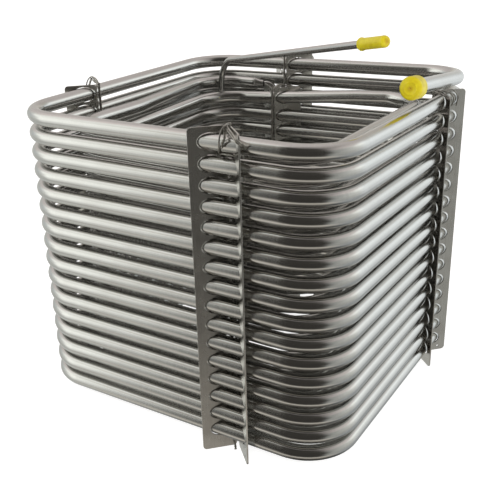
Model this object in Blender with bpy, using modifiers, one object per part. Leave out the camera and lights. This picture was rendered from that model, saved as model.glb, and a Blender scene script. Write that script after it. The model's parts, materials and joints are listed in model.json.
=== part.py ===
"""Immersion wort chiller: two nested square coils of stainless tube, tied between perforated strips.

Metres, +Z up. The origin is the centre of the footprint, on the plane that the strips stand on.
The coils are seen from above as rounded squares. The front side is -Y, the right side is +X.
"""
import math

import bpy
from mathutils import Matrix, Vector

# Tubes
TUBE_OD = 0.0127
RISER_OD = 0.00635
TUBE_R = TUBE_OD / 2
RISER_R = RISER_OD / 2
BEND_R = 0.040            # centreline radius of the coils' corners
BUTT_GAP = 0.0003         # between the ends of joined tubes
BEND_LEG = 0.004          # straight end of the bend that joins the two coils

# Coils: half the side of each square, measured on the tube's centreline
OUTER_HALF = 0.147
COIL_GAP = 0.0286         # outer centreline to inner centreline
INNER_HALF = OUTER_HALF - COIL_GAP
PITCH = 0.01625
OUTER_TURNS = 16
OUTER_TOP_Z = 0.2734      # outer centreline where it would cross y = 0 on the right side
OUTLET_Y = -0.0085        # end of the capped run on the right side
OUTLET_Z = 0.2840
COIL_END_X = 0.020        # both coils end here, on the back side, at the bottom

# The outer coil isn't an even helix: its front right corner and right side sit higher
LIFT = 0.0030
LIFT_RISE = (0.653, 0.846)   # turns from y = 0 on the right side: along the front
LIFT_FALL = (0.060, 0.130)   # the same, round the back right corner

# Inner coil: its first run leans outwards, its first turn is level, then it drops and winds down
FIRST_RUN_INSET = 0.0130  # outer centreline to the first run's centreline
FIRST_RUN_X = -0.080
FIRST_RUN_Z = 0.2479
SETTLED_Y = -0.020        # on the left side the first run has moved in to the inner square
LEVEL_TURNS = 0.87
DROP_END_TURNS = 1.03
DROP = 0.0125

# Perforated strips, in pairs that meet at 45 degrees to the side of the coil
STRIP_THICKNESS = 0.0012
STRIP_OUT = 0.0120        # outer edge, outwards from the tube's centreline
STRIP_IN = 0.0085         # edges that meet, inwards from the tube's centreline
STRIP_CORNER = 0.003
STRIP_MARGIN = 0.0112     # top edge above the top hole's centre
LOW_MARGIN = 0.0085       # the same on the sides where the strips stand lower
LOW_SIDES = ("right", "left")
CAPPED_SIDE = "right"     # the capped run passes over the strips here, not through them
STRIP_GAP = 0.0006        # between the two strips of a pair
STRIP_SHIFT = (STRIP_GAP + STRIP_THICKNESS) / 2 * math.sqrt(2)   # along the side, to a strip's middle plane
HOLE_GAP = 0.0005         # around the tube, in its holes
HOLE_SIDES = 8
OUTER_SPACERS = {"front": 0.0595, "right": 0.080, "back": -0.045, "left": -0.052}
INNER_SPACERS = {"front": 0.045, "back": -0.044}

# Tie wire
WIRE_R = 0.0008
WIRE_CLEAR = 0.0004
WIRE_TAIL = 0.0100        # below the lowest tube's centre
WIRE_BEND_R = 0.004
WIRE_STEPS = 2            # straight pieces in each bend of a wire

# Riser: from a reducer on the inner coil's top end, round a hairpin, up and out over the coils
REDUCER_LENGTH = 0.0114
REDUCER_WALL = 0.0009     # around the riser's end
REDUCER_SLEEVE = 0.0002   # around the coil's end
REDUCER_CONE = (0.0010, -0.0030)   # where its cone starts and ends, from its middle
HAIRPIN_R = 0.009
HAIRPIN_DROP = 0.0200     # from the hairpin's upper leg to its lower one
HAIRPIN_REACH = 0.0115    # from the reducer to the hairpin's far side
HAIRPIN_LEAN = 0.0014     # outwards, clear of the inner strip
RISER_RUN_X = -0.094      # the low run turns towards the upright here
RISER_GAP = 3 * BUTT_GAP  # between the reducer and the riser
RISER_LEG = (-0.1132, 0.1149)
RUN_BEND_R = 0.010
LEG_BEND_R = 0.009
RISER_BEND_R = 0.028
RISER_TOP = Vector((-0.1103, 0.1167, 0.2721))   # corner that the big bend rounds off
RISER_END = Vector((0.1312, -0.0288, 0.3214))

# Caps
CAP_CLEAR = 0.0002        # between a cap's bore and its tube
CAP_STEPS = 3             # straight pieces in a cap's rounded edge
OUTLET_CAP = {"radius": 0.0094, "length": 0.0150, "bore": TUBE_R + CAP_CLEAR, "depth": 0.0125,
              "round": 0.0025}
INLET_CAP = {"radius": 0.0047, "length": 0.0333, "bore": RISER_R + CAP_CLEAR, "depth": 0.0303,
             "round": 0.0035}

CORNER_STEPS = 3          # straight pieces in each corner of a coil
SMALL_STEPS = 4           # straight pieces in each bend of the riser
TURNED_STEPS = 16         # around the caps and the reducer

SIDES = ("right", "back", "left", "front")   # in the order the tube runs, counter-clockwise from above
ALONG = {"right": Vector((0, 1, 0)), "back": Vector((-1, 0, 0)),
         "left": Vector((0, -1, 0)), "front": Vector((1, 0, 0))}
OUTWARD = {"right": Vector((1, 0, 0)), "back": Vector((0, 1, 0)),
           "left": Vector((-1, 0, 0)), "front": Vector((0, -1, 0))}


def clear_scene():
    for obj in list(bpy.data.objects):
        bpy.data.objects.remove(obj, do_unlink=True)


def make_material(name, colour, roughness, metallic):
    material = bpy.data.materials.new(name)
    material.use_nodes = True
    shader = material.node_tree.nodes["Principled BSDF"]
    shader.inputs["Base Color"].default_value = (*colour, 1.0)
    shader.inputs["Roughness"].default_value = roughness
    shader.inputs["Metallic"].default_value = metallic
    return material


def add_object(name, data, material, collection):
    obj = bpy.data.objects.new(name, data)
    data.materials.append(material)
    collection.objects.link(obj)
    return obj


def round_bar(name, points, radius, material, collection, resolution=2):
    """A solid bar of round section along a polyline, with closed ends."""
    curve = bpy.data.curves.new(name, "CURVE")
    curve.dimensions = "3D"
    curve.bevel_depth = radius
    curve.bevel_resolution = resolution
    curve.use_fill_caps = True
    curve.resolution_u = 1
    curve.render_resolution_u = 0
    curve.twist_mode = "MINIMUM"
    spline = curve.splines.new("POLY")
    spline.points.add(len(points) - 1)
    for point, place in zip(spline.points, points):
        point.co = (*place, 1.0)
    return add_object(name, curve, material, collection)


def bend(before, corner, after, radius, steps):
    """Points of a round bend of the given radius that replaces a sharp corner."""
    to_before = (before - corner).normalized()
    to_after = (after - corner).normalized()
    half_angle = to_before.angle(to_after) / 2
    middle = corner + (to_before + to_after).normalized() * (radius / math.sin(half_angle))
    setback = radius / math.tan(half_angle)
    start = corner + to_before * setback - middle
    normal = to_before.cross(to_after).normalized()
    sweep = -(math.pi - 2 * half_angle)
    return [middle + Matrix.Rotation(sweep * i / steps, 3, normal) @ start for i in range(steps + 1)]


def rounded_path(corners, radii, steps):
    """A polyline through corner points, each inner one rounded to its own radius."""
    points = [corners[0]]
    for i, radius in enumerate(radii, start=1):
        points += bend(corners[i - 1], corners[i], corners[i + 1], radius, steps)
    return points + [corners[-1]]


def square_corner(side, half):
    """Centre and first direction of the corner that follows a side."""
    inner = half - BEND_R
    centre = (OUTWARD[side] + ALONG[side]) * inner
    return centre, OUTWARD[side] * BEND_R


def corner_arc(side, half):
    centre, start = square_corner(side, half)
    quarter = math.pi / 2
    return [centre + Matrix.Rotation(quarter * i / CORNER_STEPS, 3, "Z") @ start
            for i in range(CORNER_STEPS + 1)]


def flat_lengths(points):
    """Distance along a path, seen from above, at each of its points."""
    lengths = [0.0]
    for a, b in zip(points, points[1:]):
        lengths.append(lengths[-1] + (b - a).xy.length)
    return lengths


def turn_length(half):
    return 4 * 2 * (half - BEND_R) + 4 * CORNER_STEPS * 2 * BEND_R * math.sin(math.pi / 4 / CORNER_STEPS)


def lift(turns):
    """How far the outer coil sits above an even helix, at a number of turns from y = 0 on the right side."""
    part = turns % 1
    share = (LIFT_FALL[1] - part) / (LIFT_FALL[1] - LIFT_FALL[0])
    if part > LIFT_FALL[1]:
        share = (part - LIFT_RISE[0]) / (LIFT_RISE[1] - LIFT_RISE[0])
    return LIFT * min(1, max(0, share))


def outer_height(distance):
    """Height of the outer coil at a distance along it from y = 0 on the right side."""
    turns = distance / turn_length(OUTER_HALF)
    height = OUTER_TOP_Z - PITCH * turns + lift(turns)
    straight = OUTER_HALF - BEND_R
    if distance < straight:
        corner = straight / turn_length(OUTER_HALF)
        base = OUTER_TOP_Z - PITCH * corner + lift(corner)
        height = base + (OUTLET_Z - base) * (straight - distance) / (straight - OUTLET_Y)
    return height


def inner_height(distance):
    """Height of the inner coil at a distance along it from its top end."""
    turns = distance / turn_length(INNER_HALF)
    if turns < LEVEL_TURNS:
        return FIRST_RUN_Z
    if turns < DROP_END_TURNS:
        return FIRST_RUN_Z - DROP * (turns - LEVEL_TURNS) / (DROP_END_TURNS - LEVEL_TURNS)
    return FIRST_RUN_Z - DROP - PITCH * (turns - DROP_END_TURNS)


def outer_path():
    """Flat path of the outer coil: capped end, its turns, then the end at the back."""
    points = [Vector((OUTER_HALF, OUTLET_Y, 0))]
    for _ in range(OUTER_TURNS):
        for side in SIDES:
            points += corner_arc(side, OUTER_HALF)
    points += corner_arc("right", OUTER_HALF)
    points.append(Vector((COIL_END_X, OUTER_HALF, 0)))
    return points


def inner_path():
    """Flat path of the inner coil, from its top end on the back side."""
    first_half = OUTER_HALF - FIRST_RUN_INSET
    points = [Vector((FIRST_RUN_X, first_half, 0))]
    points += corner_arc("back", first_half)
    points.append(Vector((-INNER_HALF, SETTLED_Y, 0)))
    order = ("left", "front", "right", "back")
    for i in range(4 * (OUTER_TURNS - 2) + 3):
        points += corner_arc(order[i % 4], INNER_HALF)
    points.append(Vector((COIL_END_X, INNER_HALF, 0)))
    return points


def raise_path(points, height, start=0.0):
    lengths = flat_lengths(points)
    return [Vector((p.x, p.y, height(start + s))) for p, s in zip(points, lengths)]


def crossings(points, side, at):
    """Heights at which a coil passes a place on one side, from the top down."""
    found = []
    along = ALONG[side]
    place = at * (along.x + along.y)
    for a, b in zip(points, points[1:]):
        u, v = a.dot(along), b.dot(along)
        if u < place <= v:
            found.append(a.z + (b.z - a.z) * (place - u) / (v - u))
    return found


def strip_outline(width, height):
    """Corner points of a strip's face, with its four corners cut."""
    c = STRIP_CORNER
    return [(c, 0), (width - c, 0), (width, c), (width, height - c),
            (width - c, height), (c, height), (0, height - c), (0, c)]


def add_loop(curve, points):
    spline = curve.splines.new("POLY")
    spline.points.add(len(points) - 1)
    spline.use_cyclic_u = True
    for point, (x, y) in zip(spline.points, points):
        point.co = (x, y, 0, 1)


def hole_outline(centre_w, centre_z):
    """A hole that lets the tube through at 45 degrees: its width is the tube's, stretched."""
    reach = 1 / math.cos(math.pi / HOLE_SIDES)
    half_height = (TUBE_R + HOLE_GAP) * reach
    half_width = half_height * math.sqrt(2) + STRIP_THICKNESS / 2
    start = math.pi / HOLE_SIDES
    return [(centre_w + half_width * math.cos(start + 2 * math.pi * i / HOLE_SIDES),
             centre_z + half_height * math.sin(start + 2 * math.pi * i / HOLE_SIDES))
            for i in range(HOLE_SIDES)]


def perforated_strip(name, side, half, at, hand, heights, top, material, collection):
    """One flat strip of a pair: it runs from the meeting edge outwards at 45 degrees."""
    width = (STRIP_OUT + STRIP_IN) * math.sqrt(2)
    curve = bpy.data.curves.new(name, "CURVE")
    curve.dimensions = "2D"
    curve.fill_mode = "BOTH"
    curve.extrude = STRIP_THICKNESS / 2
    add_loop(curve, strip_outline(width, top))
    for z in heights:
        add_loop(curve, hole_outline(STRIP_IN * math.sqrt(2), z))
    obj = add_object(name, curve, material, collection)
    along = Vector((abs(ALONG[side].x), abs(ALONG[side].y), 0))
    outward = OUTWARD[side]
    across = (outward + along * hand).normalized()
    up = Vector((0, 0, 1))
    rotation = Matrix((across, up, across.cross(up))).transposed()
    place = outward * (half - STRIP_IN) + along * (at + hand * STRIP_SHIFT)
    obj.matrix_world = Matrix.Translation(place) @ rotation.to_4x4()
    return obj


def tie_wire(name, side, half, at, heights, top, material, collection):
    """Wire that laces a pair of strips: over the top tube, then down the inside."""
    along = Vector((abs(ALONG[side].x), abs(ALONG[side].y), 0))
    outward = OUTWARD[side]
    spine = half - STRIP_IN - STRIP_THICKNESS - WIRE_R - WIRE_CLEAR
    front = half + TUBE_R + WIRE_R + WIRE_CLEAR
    over = top + WIRE_R + WIRE_CLEAR
    low = min(heights) - WIRE_TAIL
    start = along * at
    corners = [start + outward * front + Vector((0, 0, max(heights) - TUBE_R)),
               start + outward * front + Vector((0, 0, over)),
               start + outward * spine + Vector((0, 0, over)),
               start + outward * spine + Vector((0, 0, low))]
    points = rounded_path(corners, (WIRE_BEND_R, WIRE_BEND_R), WIRE_STEPS)
    return round_bar(name, points, WIRE_R, material, collection, resolution=1)


def add_spacer(prefix, side, half, at, coil, margin, steel, wire, collection):
    """A pair of strips with holes where the coil passes them, and the wire that ties them."""
    heights = crossings(coil, side, at)
    if prefix == "outer" and side == CAPPED_SIDE:
        heights = heights[1:]
    top = max(heights) + margin
    for hand, word in ((-1, "a"), (1, "b")):
        name = f"{prefix}_strip_{side}_{word}"
        through = crossings(coil, side, at + hand * (STRIP_IN + STRIP_SHIFT))
        holes = [z for z in through if z < top]
        perforated_strip(name, side, half, at, hand, holes, top, steel, collection)
    tie_wire(f"{prefix}_tie_wire_{side}", side, half, at, heights, top, wire, collection)


def turned(name, profile, place, axis, material, collection):
    """A turned solid: a profile of (radius, height) from top to bottom, round an axis."""
    mesh = bpy.data.meshes.new(name)
    verts = [(r, 0, h) for r, h in profile]
    mesh.from_pydata(verts, [(i, i + 1) for i in range(len(verts) - 1)], [])
    obj = add_object(name, mesh, material, collection)
    screw = obj.modifiers.new("turn", "SCREW")
    screw.steps = TURNED_STEPS
    screw.render_steps = TURNED_STEPS
    screw.axis = "Z"
    screw.use_merge_vertices = True
    screw.merge_threshold = 0.00005
    screw.use_smooth_shade = True
    obj.matrix_world = Matrix.Translation(place) @ axis.to_track_quat("Z", "Y").to_matrix().to_4x4()
    return obj


def add_cap(name, size, tube_end, direction, material, collection):
    """A soft cap that is pushed over a tube's end. Its closed end points along direction."""
    r, length, soft = size["radius"], size["length"], size["round"]
    wall_end = length - size["depth"]
    arc = [(r - soft + soft * math.sin(a), length - soft + soft * math.cos(a))
           for a in (math.pi / 2 * i / CAP_STEPS for i in range(CAP_STEPS + 1))]
    profile = [(0, length)] + arc + [(r, 0), (size["bore"], 0),
                                     (size["bore"], length - wall_end), (0, length - wall_end)]
    seat = tube_end - direction * (size["depth"] - BUTT_GAP)
    return turned(name, profile, seat, direction, material, collection)


def riser_points(first):
    """The riser's centreline, from the reducer to its capped end."""
    back = first + Vector((HAIRPIN_REACH, HAIRPIN_LEAN, 0))
    drop = Vector((0, 0, -HAIRPIN_DROP))
    leg_low = Vector((*RISER_LEG, first.z - HAIRPIN_DROP))
    run = Vector((RISER_RUN_X, first.y, leg_low.z))
    corners = [first, back, back + drop, run, leg_low, RISER_TOP, RISER_END]
    radii = (HAIRPIN_R, HAIRPIN_R, RUN_BEND_R, LEG_BEND_R, RISER_BEND_R)
    return rounded_path(corners, radii, SMALL_STEPS)


def add_reducer(coil_end, material, collection):
    """A short turned fitting that takes the coil's tube down to the riser's."""
    half = REDUCER_LENGTH / 2
    thin = RISER_R + REDUCER_WALL
    wide = TUBE_R + REDUCER_SLEEVE
    cone_start, cone_end = REDUCER_CONE
    profile = [(0, half), (thin, half), (thin, cone_start), (wide, cone_end), (wide, -half), (0, -half)]
    place = coil_end + Vector((BUTT_GAP + half, 0, 0))
    return turned("inlet_reducer", profile, place, Vector((1, 0, 0)), material, collection)


def add_return_bend(outer_end, inner_end, material, collection):
    """The half-round bend that joins the two coils at the bottom."""
    middle = (outer_end + inner_end) / 2
    spoke = Vector((0, COIL_GAP / 2, 0))
    rise = Vector((0, 0, inner_end.z - outer_end.z))
    steps = 2 * CORNER_STEPS
    butt = Vector((-BUTT_GAP, 0, 0))
    leg = Vector((-BEND_LEG, 0, 0))
    arc = [middle + leg + Matrix.Rotation(math.pi * i / steps, 3, "Z") @ spoke + rise * (i / steps - 0.5)
           for i in range(steps + 1)]
    points = [outer_end + butt] + arc + [inner_end + butt]
    return round_bar("return_bend", points, TUBE_R, material, collection)


def build():
    clear_scene()
    collection = bpy.data.collections.new("immersion_wort_chiller")
    bpy.context.scene.collection.children.link(collection)
    steel = make_material("stainless_tube", (0.62, 0.60, 0.58), 0.28, 1.0)
    sheet = make_material("stainless_sheet", (0.45, 0.43, 0.40), 0.38, 1.0)
    wire = make_material("stainless_wire", (0.42, 0.41, 0.39), 0.35, 1.0)
    vinyl = make_material("yellow_vinyl", (0.72, 0.62, 0.03), 0.45, 0.0)

    outer = raise_path(outer_path(), outer_height, start=OUTLET_Y)
    inner = raise_path(inner_path(), inner_height)
    round_bar("outer_coil", outer, TUBE_R, steel, collection)
    round_bar("inner_coil", inner, TUBE_R, steel, collection)
    add_return_bend(outer[-1], inner[-1], steel, collection)

    for side, at in OUTER_SPACERS.items():
        margin = LOW_MARGIN if side in LOW_SIDES else STRIP_MARGIN
        add_spacer("outer", side, OUTER_HALF, at, outer, margin, sheet, wire, collection)
    for side, at in INNER_SPACERS.items():
        add_spacer("inner", side, INNER_HALF, at, inner, STRIP_MARGIN, sheet, wire, collection)

    add_reducer(inner[0], steel, collection)
    riser = riser_points(inner[0] + Vector((REDUCER_LENGTH + RISER_GAP, 0, 0)))
    round_bar("riser_tube", riser, RISER_R, steel, collection)
    add_cap("outlet_cap", OUTLET_CAP, outer[0], (outer[0] - outer[1]).normalized(), vinyl, collection)
    add_cap("inlet_cap", INLET_CAP, riser[-1], (riser[-1] - riser[-2]).normalized(), vinyl, collection)


build()
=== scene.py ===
"""Looks of the immersion wort chiller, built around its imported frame.

Metres, +Z up. Front is -Y, right is +X. Every visible piece is built here with a fine surface and
stands for the plain CAD solid of the same part.
"""

import json
import math

import bpy
import numpy as np
from mathutils import Matrix, Vector

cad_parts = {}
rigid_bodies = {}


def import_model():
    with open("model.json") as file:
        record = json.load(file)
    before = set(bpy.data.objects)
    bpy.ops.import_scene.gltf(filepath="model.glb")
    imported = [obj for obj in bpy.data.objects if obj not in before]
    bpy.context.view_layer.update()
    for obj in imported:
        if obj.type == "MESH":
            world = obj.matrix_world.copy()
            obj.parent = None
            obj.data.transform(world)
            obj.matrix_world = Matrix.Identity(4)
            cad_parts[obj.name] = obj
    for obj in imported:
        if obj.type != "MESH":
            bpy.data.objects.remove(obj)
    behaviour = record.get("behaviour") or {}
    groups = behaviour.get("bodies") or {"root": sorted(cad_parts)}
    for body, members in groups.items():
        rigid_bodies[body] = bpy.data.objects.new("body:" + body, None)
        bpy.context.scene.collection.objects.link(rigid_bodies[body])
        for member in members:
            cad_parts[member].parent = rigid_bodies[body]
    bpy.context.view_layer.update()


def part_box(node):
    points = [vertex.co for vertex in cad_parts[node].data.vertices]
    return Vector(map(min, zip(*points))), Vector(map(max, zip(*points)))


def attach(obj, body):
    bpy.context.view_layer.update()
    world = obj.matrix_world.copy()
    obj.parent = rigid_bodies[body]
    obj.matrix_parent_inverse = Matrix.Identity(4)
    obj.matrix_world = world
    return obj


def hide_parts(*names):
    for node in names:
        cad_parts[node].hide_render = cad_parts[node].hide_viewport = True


# Tubes
TUBE_R = 0.00635
RISER_R = 0.003175
WALL = 0.0009             # of every tube
BORE_DEPTH = 0.045        # how far an open end is hollow
LIP = 0.00012             # softening of an open end's two edges
TUBE_SIDES = 32
CORNER_STEPS = 14         # rings in each corner of a coil
RUN_STEPS = 5             # rings along each straight run

# Coils, as in the frame. A turn of the outer coil counts from y = 0 on the right side, and one of the
# inner coil from its top end.
BEND_R = 0.040
COIL_GAP = 0.0286         # outer centreline to inner centreline
PITCH = 0.01625           # fall of a coil in each turn
OUTER_TURNS = 16
INNER_CORNERS = 4 * (OUTER_TURNS - 2) + 3   # corners of the inner coil below its first run
OUTER_TOP_Z = 0.2734      # outer centreline where it would cross y = 0 on the right side
OUTLET_Y = -0.0085        # end of the capped run on the right side
OUTLET_Z = 0.2840
FIRST_RUN_INSET = 0.0130  # outer centreline to the inner coil's first run
FIRST_RUN_X = -0.080      # top end of the inner coil, at the back
FIRST_RUN_Z = 0.2479
SETTLED_Y = -0.020        # here the first run has moved in to the inner square
LEVEL_TURNS = 0.87        # the inner coil stays level up to here
DROP_END_TURNS = 1.03     # and has fallen by DROP here, before its even turns
DROP = 0.0125
COIL_END_X = 0.020        # bottom end of both coils, at the back
LIFT = 0.0030             # extra height of the outer coil in one stretch of each turn
LIFT_RISE = (0.653, 0.846)   # shares of a turn between which the extra height comes
LIFT_FALL = (0.060, 0.130)   # and between which it goes again, in the next turn
BUTT_GAP = 0.0003         # between two pieces that meet end to end
BEND_LEG = 0.004          # straight stretch at each end of the return bend

# Perforated strips
STRIP_THICKNESS = 0.0012
STRIP_OUT = 0.0120        # outer edge, outwards from the tube's centreline
STRIP_IN = 0.0085         # meeting edges, inwards from the tube's centreline
STRIP_GAP = 0.0006
ROOT2 = math.sqrt(2)      # a strip stands at 45 degrees to its side
STRIP_SHIFT = (STRIP_GAP + STRIP_THICKNESS) / 2 * ROOT2   # along the side, to a strip's middle plane
STRIP_CORNER = 0.0032
STRIP_CORNER_STEPS = 6
STRIP_EDGE = 0.00018      # softening of every cut edge
STRIP_EDGE_STEPS = 2
HOLE_HALF_HEIGHT = 0.0070
HOLE_HALF_WIDTH = 0.0106
HOLE_SHIFT = -0.0003      # outwards, from the tube's centre
HOLE_STEPS = 32
PIN_HOLE_R = 0.0010       # small hole near the foot of each second strip
PIN_HOLE = (0.0075, 0.0042)   # its place: from the outer edge, and above the foot

# Tie wire
STRAND_R = 0.00058
TWIST = {"radius": 0.00062, "pitch": 0.0062}       # of a pair: its strands' centres, and one full turn
TAIL_TWIST = {"radius": 0.0005, "pitch": 0.0045}   # of a bent tail
WIRE_SIDES = 8
WIRE_STEP = 0.0006        # distance between rings of a strand
CURVE_STEPS = 8           # points of a smooth path between two of its given places
SPINE_GAP = 0.0019        # from the meeting edges to the pair's middle
SPINE_ABOVE = 0.0012      # top end of a pair, above the strips
SPINE_BELOW = 0.0105      # foot of a pair, below the lowest tube's centre
SPINE_FOOT = 0.0016       # and its lowest place above the ground
SPINE_TAIL = (0.010, 0.005)   # places of the bent foot, above its end
SPINE_LEAN = ((0.0002, 0.0), (-0.0003, -0.0002), (0.0008, 0.0003))   # along and out: top, middle and end

# Strands over the top tube of a spacer, in millimetres: along the side, outwards from the tube's
# centreline, and above it
MM = 1000                 # in a metre
LOOPS = (
    ((0.4, -10.4, 8), (2.0, -6, 12.6), (4.9, 2, 13.9), (4.0, 6, 11), (3.2, 8, 5.6), (2.3, 7.7, -0.6),
     (0.6, 5.2, -5.6), (-0.4, 0, -7.4), (-0.6, -5, -6.4)),
    ((0.8, -10.2, 8), (2.4, -6, 12.0), (5.2, 1, 13.0), (11, 6, 11.3), (17.3, 11, 9.3), (20.3, 13.2, 7.6),
     (22.8, 12.3, 5.6), (23.5, 9.5, 3.2), (24, 8, 1.2)),
    ((0.2, -9.8, 8), (1.6, -5, 10.6), (3.6, 1, 11.2), (10, 6, 9.8), (16.5, 10.8, 7.6), (19.6, 13.2, 6.0),
     (22.0, 12.4, 4.2), (22.6, 10.4, 2.6)),
    ((-0.6, 2, -7.3), (5, 3, -6.9), (11.6, 3.2, -7.1), (13.4, 2.4, -8.2)),
)
# The same on the right side, under the capped run
HOOKS = (
    ((0.2, -10.4, 5), (-4, -8, 7.6), (-8, -3, 7.8), (-1, 2, 9.6), (5, 6, 8.6), (8, 8.6, 4), (9, 9, -1),
     (9.4, 8.2, -6)),
    ((0.6, -10, 5), (-1, -6, 8.4), (-3, -1, 8.2), (0, 4, 7.2), (2, 7.2, 3), (1.6, 7.4, -2), (0.6, 5, -5.6),
     (0, 0, -7.4)),
    ((-0.4, -10, 4), (-6, -6, 6.6), (-9, 0, 7.4), (-7, 4.6, 5.6), (-6, 7.2, 1), (-6.4, 6.2, -4)),
)
# Bent tails of twisted wire: one over the top tube, and one that stands on the ground
TAIL = ((4.4, 2, 12.6), (5.5, 4.4, 10), (7.4, 8, 6), (5.9, 8.2, 3), (5.2, 8.0, -1.2))
FOOT_TAIL = ((1.0, 0.5, 12), (1.8, -0.4, 6), (2.6, 0.2, 1.6))

# Riser, as in the frame
REDUCER_LENGTH = 0.0114
REDUCER_THIN_R = RISER_R + 0.0009
REDUCER_WIDE_R = TUBE_R + 0.0002
REDUCER_EDGE = 0.0003     # softening of its end edges
REDUCER_FILLET = 0.0012
REDUCER_STEP = (0.0016, -0.0042)   # heights between which it widens, from its middle
BEAD_R = 0.0006           # weld bead
BEAD_STEPS = 48
RISER_GAP = 0.0009
HAIRPIN_R = 0.009
HAIRPIN_DROP = 0.0200
HAIRPIN_REACH = 0.0115
HAIRPIN_LEAN = 0.0014
RISER_RUN_X = -0.094
RISER_LEG = (-0.1132, 0.1149)
RUN_BEND_R = 0.010
LEG_BEND_R = 0.009
RISER_BEND_R = 0.028
RISER_BEND_STEPS = 12
RISER_TOP = Vector((-0.1103, 0.1167, 0.2721))
RISER_END = Vector((0.1312, -0.0288, 0.3214))

# Caps, as in the frame. Depth is how far a cap's bore goes in.
OUTLET_CAP = {"radius": 0.0094, "length": 0.0150, "depth": 0.0125}
INLET_CAP = {"radius": 0.0047, "length": 0.0333, "depth": 0.0303}
CAP_CLEAR = 0.0002        # between a tube and its cap's bore
CAP_BORE_EDGE = 0.0006    # softening where a bore ends
TURNED_STEPS = 64
ON_AXIS = 1e-6            # a profile's radius below this is one point on the axis
NEARLY_UPRIGHT = 0.1      # sine of the angle from upright below which a path needs another first normal
# Face of the large cap, as (radius, depth below its length): gate mark, hollow and moulded ring
OUTLET_FACE = ((0, 0.0007), (0.0006, 0.0007), (0.0011, 0.0004), (0.0017, 0.0005), (0.0036, 0.0004),
               (0.0044, 0.0001), (0.0050, -0.0001), (0.0056, 0.0001), (0.0061, 0.0003))
OUTLET_SHOULDER = 0.0026  # rounding from a cap's face to its side
INLET_SHOULDER = 0.0034
OUTLET_RIM = 0.0006       # rounding of a cap's open rim
INLET_RIM = 0.0005

# Edges sharper than these angles, in degrees, stay sharp in the shading
TUBE_SHARP = 35.0
TURNED_SHARP = 30.0
STRIP_SHARP = 32.0
WIRE_SHARP = 60.0

# Colours
TUBE_DARK = (0.555, 0.55, 0.53)
TUBE_LIGHT = (0.60, 0.595, 0.575)
TUBE_PATCH = (0.51, 0.495, 0.465)
SHEET_DARK = (0.50, 0.48, 0.45)
SHEET_LIGHT = (0.61, 0.60, 0.57)
SHEET_CLOUD = (0.40, 0.375, 0.34)
WIRE_LIGHT = (0.50, 0.48, 0.44)
WIRE_DARK = (0.25, 0.235, 0.21)
VINYL_LIGHT = (0.72, 0.62, 0.012)
VINYL_DARK = (0.62, 0.50, 0.008)
# Painted shade at the middle of a cap's face, darkest at the axis
VINYL_PAINTED_SHADE = (0.42, 0.25, 0.006)
VINYL_PAINTED_SHADE_R = (0.0006, 0.0030)   # the painted shade at the middle of a cap's face fades out between these distances from the axis

# Lines in a surface, a metre: across a piece twice and then along it, or in a strip's own axes
TUBE_LINES = (70, 70, 1300)
TUBE_FINE_LINES = (160, 160, 4200)
SHEET_LINES = (1500, 45, 45)
WIRE_LINES = (3500, 3500, 120)

# Roughness, from the smoothest places to the roughest
TUBE_ROUGH = (0.12, 0.17)
TUBE_PATCH_ROUGH = 0.04   # more of it in a dull patch
SHEET_ROUGH = (0.20, 0.32)
WIRE_ROUGH = (0.30, 0.46)
VINYL_ROUGH = (0.34, 0.48)

# Bumps, as strength and height
TUBE_BUMP = (0.012, 0.0002)
TUBE_FINE_BUMP = (0.008, 0.0001)
SHEET_BUMP = (0.02, 0.0002)
SHEET_DENTS = (0.12, 0.0008)
WIRE_BUMP = (0.2, 0.0001)
VINYL_BUMP = (0.15, 0.0001)

TUBE_ANISOTROPY = 0.65    # highlights stretched across the lines in the metal
TUBE_ANISOTROPY_TURN = 0.25
VINYL_SUBSURFACE = 0.12
VINYL_SUBSURFACE_R = (0.003, 0.002, 0.0004)

# Camera: place, compass angle left of +Y, angle down, roll and lens
CAMERA_PLACE = Vector((0.3513, -0.5891, 0.4001))
CAMERA_TURN = math.radians(31.480)
CAMERA_DOWN = math.radians(22.534)
CAMERA_ROLL = math.radians(-1.343)
CAMERA_LENS = 55.27
CAMERA_SENSOR = 36.0      # millimetres, like the lens
CAMERA_CLIP = (0.01, 200.0)

# Soft light that metal doesn't show
FILL_PLACE = Vector((0.9, -1.5, 1.3))
FILL_SIZE = 1.2
FILL_POWER = 22.0
FILL_COLOUR = (1.0, 0.97, 0.93)

# Floor, and the white dome behind it
WHITE = (1, 1, 1, 1)
BLACK = (0, 0, 0, 1)
FLOOR_HALF = 40.0
FLOOR_Z = -0.0004
FLOOR_GREY = (0.55, 0.55, 0.55, 1)
FLOOR_ROUGH = 0.9
FLOOR_GLOW = 0.84
DOME_R = 60.0
DOME_RINGS = 12
DOME_STEPS = 48
DOME_LOW = -8             # degrees above the level, up to 90
DOME_GLOW = 1.0

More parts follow.
